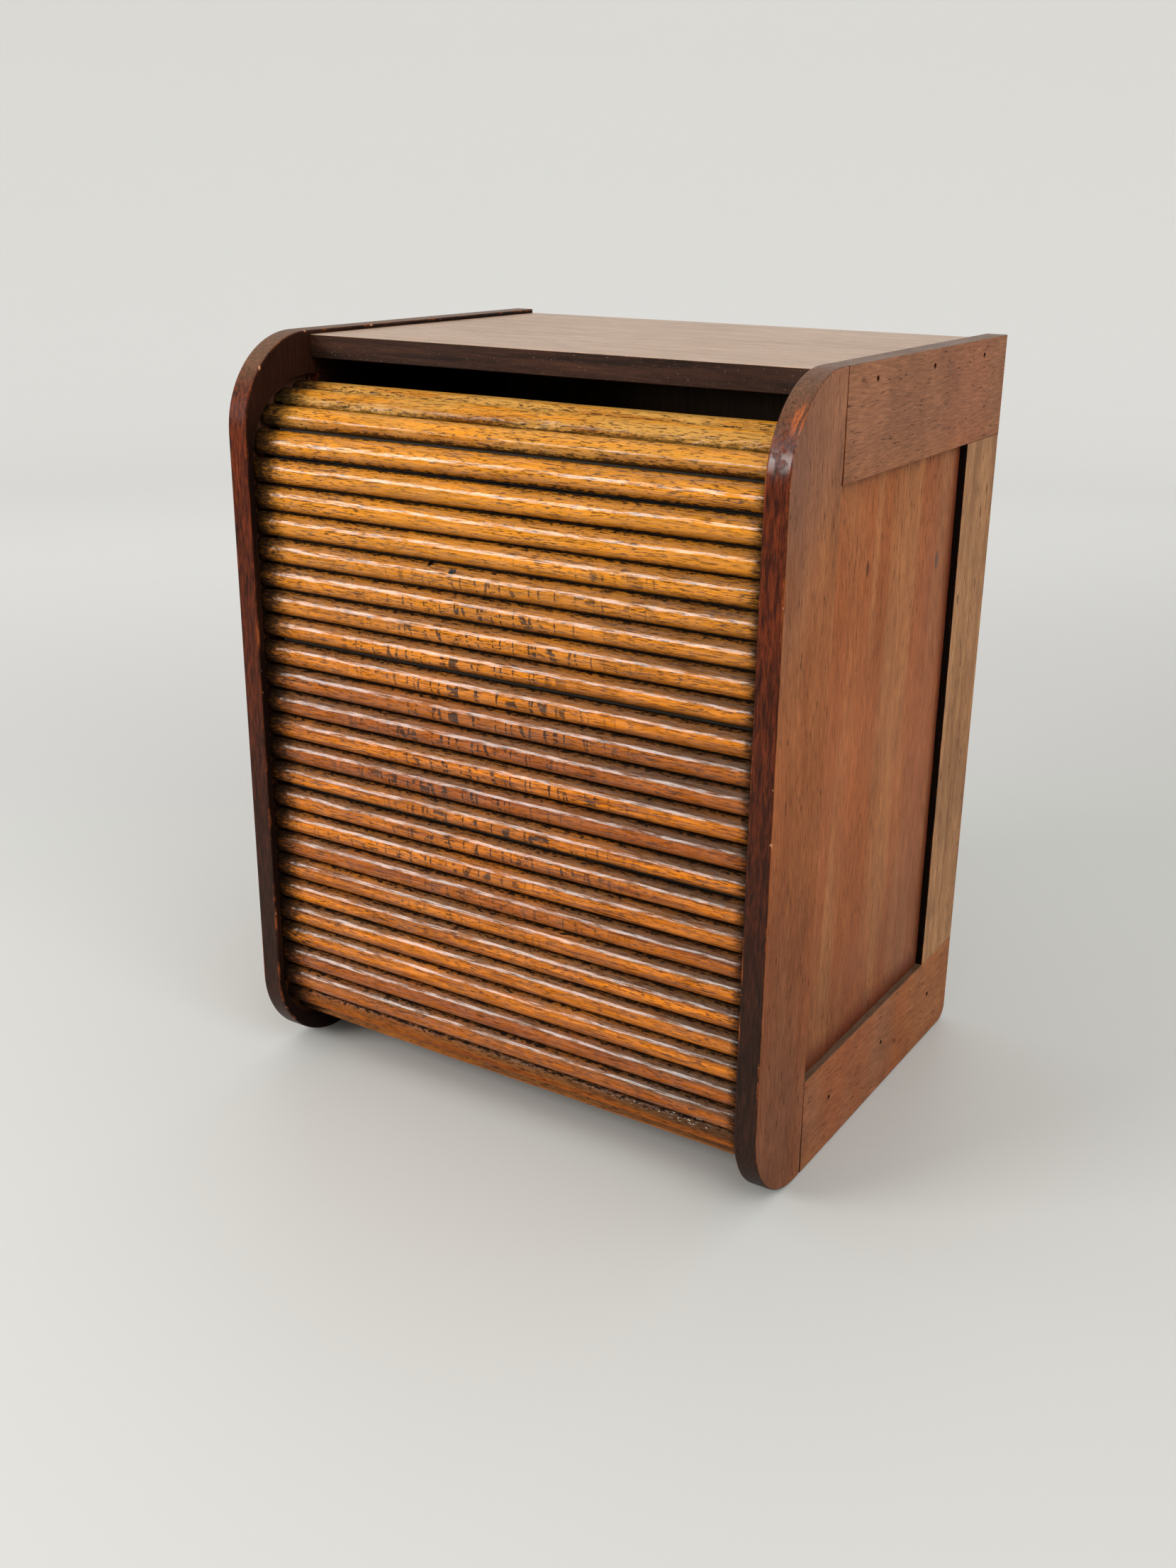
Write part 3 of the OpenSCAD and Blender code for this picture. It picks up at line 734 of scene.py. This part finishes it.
class BREADBOX_OT_boards(bpy.types.Operator):
    """Top board, floor board, false back, back board and side panels."""

    bl_idname = "breadbox.boards"
    bl_label = "Boards and panels"

    def execute(self, context):
        edge = context.scene.case_looks.edge_round
        across = plain_inner_wood("inner wood across", "X")
        upright = plain_inner_wood("back board wood", "Z")
        dark = plain_inner_wood("false back wood", "Z", 0.8)
        panel = panel_wood()
        for node, wood, name in (
            ("top_board", top_wood(), "top_wood"), ("floor_board", across, "inner_wood"),
            ("false_back", dark, "inner_wood"), ("back_board", upright, "inner_wood"),
            ("left_panel", panel, "panel_wood"), ("right_panel", panel, "panel_wood"),
        ):
            piece = planed_copy(node, f"{node}_planed", (wood,), edge)
        return {"FINISHED"}


class BREADBOX_OT_nails(bpy.types.Operator):
    """Finish of the punched nails."""

    bl_idname = "breadbox.nails"
    bl_label = "Nails"

    def execute(self, context):
        nails = frame["nodes"]["nails"]
        nails.data.materials.clear()
        nails.data.materials.append(nail_steel())
        return {"FINISHED"}


# --- Pieces of the curtain -------------------------------------------------


# Slats planed narrower than the rest, in metres, and how worn the gripped ones are
NARROW = {3: 0.0007, 11: 0.0012, 17: 0.0011}
WORN = {1: 1.0, 2: 0.9, 3: 0.45}
# The lowest slat seen from the front, with the canvas frayed along its upper edge
FRAYED_SLAT = 27


def slat_place(node):
    """Where a slat lies: its middle on the canvas line, its heading and its outward direction.

    The outline is the same on both sides of its middle, so its spread gives the heading
    exactly; outward is away from the middle of the box.
    """
    points = node_points(node)
    flat = points[:, 1:]
    out = lie(flat)[1]
    centre = np.array([(CAD_BOX[0][k] + CAD_BOX[1][k]) / 2 for k in (1, 2)])
    if (flat.mean(0) - centre) @ out < 0:
        out = -out
    heading = np.array([-out[1], out[0]])
    a, t = flat @ heading, flat @ out
    middle = heading * (a.max() + a.min()) / 2 + out * t.min()
    ends = np.abs(points[:, 0]) > np.abs(points[:, 0]).max() - 1e-5
    return {"middle": middle, "heading": heading, "out": out, "width": np.ptp(a),
            "thick": np.ptp(t), "half": np.abs(points[:, 0]).max(),
            "body": np.abs(points[~ends, 0]).max(), "lift": t[ends].min() - t.min()}


def slat_piece(node, number, wood):
    """One slat: a bead carried along X, hand-planed, its tongues relieved at the back.

    Across the slat the bead is a circle's arc through its crown and its two square edges.
    Its crown wanders a little sideways and in height along X, always inside the CAD slat.
    The gripped top slats are worn flat, with chips broken out along their lower edges.
    """
    looks = bpy.context.scene.curtain_looks
    rng = np.random.default_rng(700 + number)
    place = slat_place(node)
    width, thick = place["width"], place["thick"]
    rise = thick - SLAT_EDGE
    radius = (width ** 2 / 4 + rise ** 2) / (2 * rise)
    count = looks.across_points
    # Outline: bead from the upper edge to the lower one, then the square edges and the back
    swing = np.linspace(-1, 1, count)
    bead_a = np.sin(swing * math.asin(min(1.0, width / 2 / radius))) * radius
    sides = np.array([SLAT_EDGE * 0.55, 0.0005, 0.0])
    a = np.concatenate([bead_a, [width / 2, width / 2, width / 2 - 0.0004], [0.0],
                        [-width / 2 + 0.0004, -width / 2, -width / 2]])
    t = np.concatenate([thick - radius + np.sqrt(radius ** 2 - bead_a ** 2), sides, [0.0],
                        sides[::-1]])
    on_bead = np.concatenate([np.ones(count), np.zeros(7)])
    place_across = np.concatenate([bead_a / (width / 2), [1.1] * 3, [0.0], [-1.1] * 3])
    # Stations along X, doubled at the shoulders of the tongues
    body, half = place["body"], place["half"]
    inner = np.linspace(-body, body, looks.along_points)
    x = np.concatenate([[-half, -half + 0.0004, -body - 1e-5], inner,
                        [body + 1e-5, half - 0.0004, half]])
    tongue = np.abs(x) > body + 5e-6
    X, A = np.meshgrid(x, a, indexing="ij")
    T = np.meshgrid(x, t, indexing="ij")[1]
    share_across = A / (width / 2)
    narrow = NARROW.get(number, rng.uniform(0, 0.0004))
    low_cut = smooth_step(share_across, 0.0, 1.0) * narrow
    # Planing: height, lean and width wander along the slat
    drop = looks.unevenness * (1.0 + wander(x, rng, 5, 0.3)[:, None])
    lean = looks.unevenness * 1.3 * wander(x, rng, 4, 0.32)[:, None] + rng.uniform(-2.5e-4, 2.5e-4)
    dome = np.clip(1 - share_across ** 2, 0, 1) * on_bead
    A = A + lean * dome - low_cut
    T = T - (drop + rng.uniform(0, 2.5e-4)) * on_bead * (0.25 + 0.75 * dome)
    ripple = wander(X + 3 * A, rng, 7, 0.05) * 6e-5
    T = T - (ripple + 6e-5) * on_bead
    worn = WORN.get(number, 0.0)
    if worn:
        cap = thick - looks.worn_off * worn * (1 + 0.25 * wander(x, rng, 3, 0.3)[:, None])
        soft = 0.0004
        T = np.where(on_bead > 0, cap - soft * np.logaddexp(0, (cap - T) / soft), T)
        torn = wander(X, rng, 9, 0.11) + 0.7 * wander(X * 2.3 + A * 20, rng, 9, 0.05)
        chip = smooth_step(torn, 0.25, 0.7) * smooth_step(np.abs(share_across), 0.55, 0.95)
        T = T - chip * 0.0011 * worn * on_bead
    T = np.maximum(T, np.where(on_bead > 0, SLAT_EDGE * 0.6, 0.0))
    T = np.where(tongue[:, None], np.maximum(T, place["lift"]), T)
    tip = np.isclose(np.abs(X), half)
    T = np.where(tip & (on_bead > 0), np.maximum(T - 0.0004, place["lift"]), T)
    heading, out, middle = place["heading"], place["out"], place["middle"]
    points = np.stack([X, middle[0] + A * heading[0] + T * out[0],
                       middle[1] + A * heading[1] + T * out[1]], axis=-1)
    # Closed ends: each end ring runs to a point at its middle
    around, grid = len(a), points.reshape(-1, 3)
    caps = np.array([grid[:around].mean(0), grid[-around:].mean(0)])
    ring = np.arange(around)
    faces = (tube_faces(len(x), around), fan_faces(len(grid), ring)[:, [0, 2, 1]],
             fan_faces(len(grid) + 1, ring + len(grid) - around))
    # What the finish reads
    crazed = smooth_step(number + wander(X, rng, 2, 0.3), 5.5, 8.5)
    crazed = crazed * smooth_step(-np.abs(X + 0.005 + 0.02 * rng.standard_normal()), -0.12, -0.03)
    crazed = crazed * smooth_step(-number, -23.5, -18)
    frayed = np.zeros_like(X)
    if number == FRAYED_SLAT:
        frayed = smooth_step(X, 0.05, 0.12) * smooth_step(-X, -0.138, -0.128)
        frayed = frayed * smooth_step(-share_across, 0.6, 0.85)
    values = {
        "across": np.broadcast_to(place_across, X.shape),
        "tone": np.full(X.shape, rng.uniform(0, 1)),
        "crazed": crazed,
        "worn": np.full(X.shape, worn),
        "frayed": frayed,
    }
    values = {key: np.append(value, [value[0, 0], value[-1, -1]]) for key, value in values.items()}
    piece = add_piece(f"{node}_bead", np.concatenate([grid, caps]), faces, values, (wood,))
    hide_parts(node)
    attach(piece, NODE_BODY[node])


def canvas_piece(node, cloth):
    """A length of canvas behind the slats: a fine grid in its own plane, given its thickness."""
    points = node_points(node)
    low, high = points.min(0), points.max(0)
    flat = points[:, 1:]
    middle = flat.mean(0)
    heading, out = lie(flat)
    span = (flat - middle) @ heading
    thick = np.ptp((flat - middle) @ out)
    u = np.linspace(low[0], high[0], 121)
    v = np.linspace(span.min(), span.max(), max(7, round(np.ptp(span) / 0.002) + 1))
    U, V = np.meshgrid(u, v, indexing="ij")
    sag = 0.00006 * np.sin(U * 210) * np.sin(V * 330)
    grid = np.stack([U, middle[0] + V * heading[0] + sag * out[0],
                     middle[1] + V * heading[1] + sag * out[1]], axis=-1).reshape(-1, 3)
    piece = add_piece(f"{node}_cloth", grid, (sheet_faces(len(u), len(v)),),
                      {"u_thread": U, "v_thread": V}, (cloth,))
    solid = piece.modifiers.new("cloth thickness", "SOLIDIFY")
    solid.thickness, solid.offset = thick * 0.8, 0.0
    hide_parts(node)
    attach(piece, NODE_BODY[node])
    # A strip has the one slat of its number, the front length all the slats that move with it
    slats = [node.replace("canvas", "slat")]
    if slats[0] not in SLATS:
        slats = [n for n in SLATS if NODE_BODY[n] == "curtain"]


class BREADBOX_OT_slats(bpy.types.Operator):
    """The curtain's slats."""

    bl_idname = "breadbox.slats"
    bl_label = "Slats"

    def execute(self, context):
        wood = slat_wood()
        for number, node in enumerate(SLATS, start=1):
            slat_piece(node, number, wood)
        return {"FINISHED"}


class BREADBOX_OT_canvas(bpy.types.Operator):
    """The canvas that joins the slats."""

    bl_idname = "breadbox.canvas"
    bl_label = "Canvas"

    def execute(self, context):
        cloth = canvas_cloth()
        for node in CANVASES:
            canvas_piece(node, cloth)
        return {"FINISHED"}


# --- Studio ----------------------------------------------------------------


# Where both lights point, and their colour
LIGHT_AIM, LIGHT_TONE = (0.0, 0.0, 0.2), (1.0, 0.985, 0.96)
# The wall's line on the floor: its direction, and its distance from the middle of the box
WALL_FACING, WALL_AWAY = (-0.6537, 0.7567, 0.0), 0.435
# The floor's top lies this little below the box's feet
FLOOR_GAP = 0.0002


def area_light(name, where, size, power):
    """A soft rectangular light."""
    data = bpy.data.lights.new(name, "AREA")
    data.shape, data.size, data.size_y = "RECTANGLE", size[0], size[1]
    data.energy, data.color = power, LIGHT_TONE
    lamp = bpy.data.objects.new(name, data)
    lamp.location = where
    direction = np.subtract(LIGHT_AIM, where)
    yaw = math.atan2(direction[1], direction[0])
    pitch = math.atan2(direction[2], math.hypot(direction[0], direction[1]))
    lamp.rotation_euler = Euler((math.pi / 2 + pitch, 0.0, yaw - math.pi / 2))
    bpy.context.scene.collection.objects.link(lamp)


class BREADBOX_OT_stage(bpy.types.Operator):
    """Pale floor with a wall rising behind it, soft light and the camera."""

    bl_idname = "breadbox.stage"
    bl_label = "Studio"

    def execute(self, context):
        looks = context.scene.studio_looks
        f = Finish("studio floor", Specular_IOR_Level=0.3)
        clouds = f.noise((1.6, 1.6, 1.6), 2.0)
        # The floor ends along a line behind the box, and the lighter wall begins
        line = f.step("ShaderNodeVectorMath", "Value",
                      {0: f.place.outputs["Object"], 1: WALL_FACING}, operation="DOT_PRODUCT")
        wall = f.rise(line, WALL_AWAY - 0.0015, WALL_AWAY + 0.0015)
        # Beyond the line: painted shade near the floor, painted light farther off where the lamps
        # reach less, then the wall's tone up the cove
        foot = f.mix(f.rise(line, 0.45, 1.7), looks.wall_foot_shade, looks.wall_far_light)
        foot = f.mix(f.rise(f.axis("Object", 2), 0.05, 0.75), foot, looks.wall_tone)
        colour = f.mix(wall, looks.floor_tone, foot)
        paint = f.done(colour, f.rise(clouds, 0.3, 0.7, 0.42, 0.5))
        # Floor and wall: a profile carried round a circle, flat, then a cove, then upright
        reach, cove, top = 2.2, 0.8, 1.2
        turn = np.linspace(0, np.pi / 2, 12)[1:]
        flat = np.geomspace(0.05, reach, 24)
        profile_r = np.concatenate([flat, reach + cove * np.sin(turn), [reach + cove]])
        profile_z = np.concatenate([flat * 0, cove * (1 - np.cos(turn)), [top]])
        angle = np.linspace(0, 2 * np.pi, 96, endpoint=False)
        R, P = np.meshgrid(profile_r, angle, indexing="ij")
        Z = np.meshgrid(profile_z, angle, indexing="ij")[0]
        points = np.stack([R * np.cos(P), R * np.sin(P), Z - FLOOR_GAP], -1).reshape(-1, 3)
        faces = (tube_faces(len(profile_r), len(angle))[:, ::-1],
                 fan_faces(len(points), np.arange(len(angle))))
        floor = add_piece("studio_floor", np.concatenate([points, [[0, 0, -FLOOR_GAP]]]), faces,
                          materials=(paint,))
        area_light("window light", (-1.08, -1.62, 0.95), (0.95, 0.75), looks.window_power)
        area_light("room light", (1.5, -1.0, 1.7), (1.6, 1.6), looks.window_power * 0.75)
        world = bpy.data.worlds.new("even light")
        context.scene.world = world
        world.use_nodes = True
        backdrop = world.node_tree.nodes["Background"]
        backdrop.inputs["Color"].default_value = (1.0, 0.992, 0.98, 1.0)
        backdrop.inputs["Strength"].default_value = looks.sky_power
        # Camera, with its lens for the full width of the frame
        camera = bpy.data.cameras.new("camera")
        camera.sensor_width, camera.lens = 36.0, 37.17
        camera.clip_start, camera.clip_end = 0.01, 20.0
        eye = bpy.data.objects.new("camera", camera)
        eye.location = (0.47272, -0.78507, 0.50301)
        eye.rotation_euler = Euler([math.radians(v) for v in (69.92, -0.5406, 32.395)])
        context.scene.collection.objects.link(eye)
        context.scene.camera = eye
        context.scene.view_settings.view_transform = "Standard"
        return {"FINISHED"}


class BREADBOX_PT_panel(bpy.types.Panel):
    """Bread box tools."""

    bl_idname = "BREADBOX_PT_panel"
    bl_label = "Bread Box"
    bl_space_type = "VIEW_3D"
    bl_region_type = "UI"
    bl_category = "Bread Box"

    def draw(self, context):
        layout = self.layout
        for looks in (context.scene.case_looks, context.scene.curtain_looks,
                      context.scene.studio_looks):
            box = layout.box()
            for key in looks.bl_rna.properties.keys():
                if key not in ("rna_type", "name"):
                    box.prop(looks, key)
        for operator in OPERATORS:
            layout.operator(operator.bl_idname)


GROUPS = {"case_looks": CaseLooks, "curtain_looks": CurtainLooks, "studio_looks": StudioLooks}
OPERATORS = (BREADBOX_OT_side_frames, BREADBOX_OT_boards, BREADBOX_OT_nails, BREADBOX_OT_slats,
             BREADBOX_OT_canvas, BREADBOX_OT_stage)


def register():
    for cls in (*GROUPS.values(), *OPERATORS, BREADBOX_PT_panel):
        bpy.utils.register_class(cls)
    for key, group in GROUPS.items():
        setattr(bpy.types.Scene, key, PointerProperty(type=group))


def unregister():
    for key in GROUPS:
        delattr(bpy.types.Scene, key)
    for cls in reversed((*GROUPS.values(), *OPERATORS, BREADBOX_PT_panel)):
        bpy.utils.unregister_class(cls)


def main():
    register()
    bpy.ops.breadbox.side_frames()
    bpy.ops.breadbox.boards()
    bpy.ops.breadbox.nails()
    bpy.ops.breadbox.slats()
    bpy.ops.breadbox.canvas()
    bpy.ops.breadbox.stage()


if __name__ == "__main__":
    main()
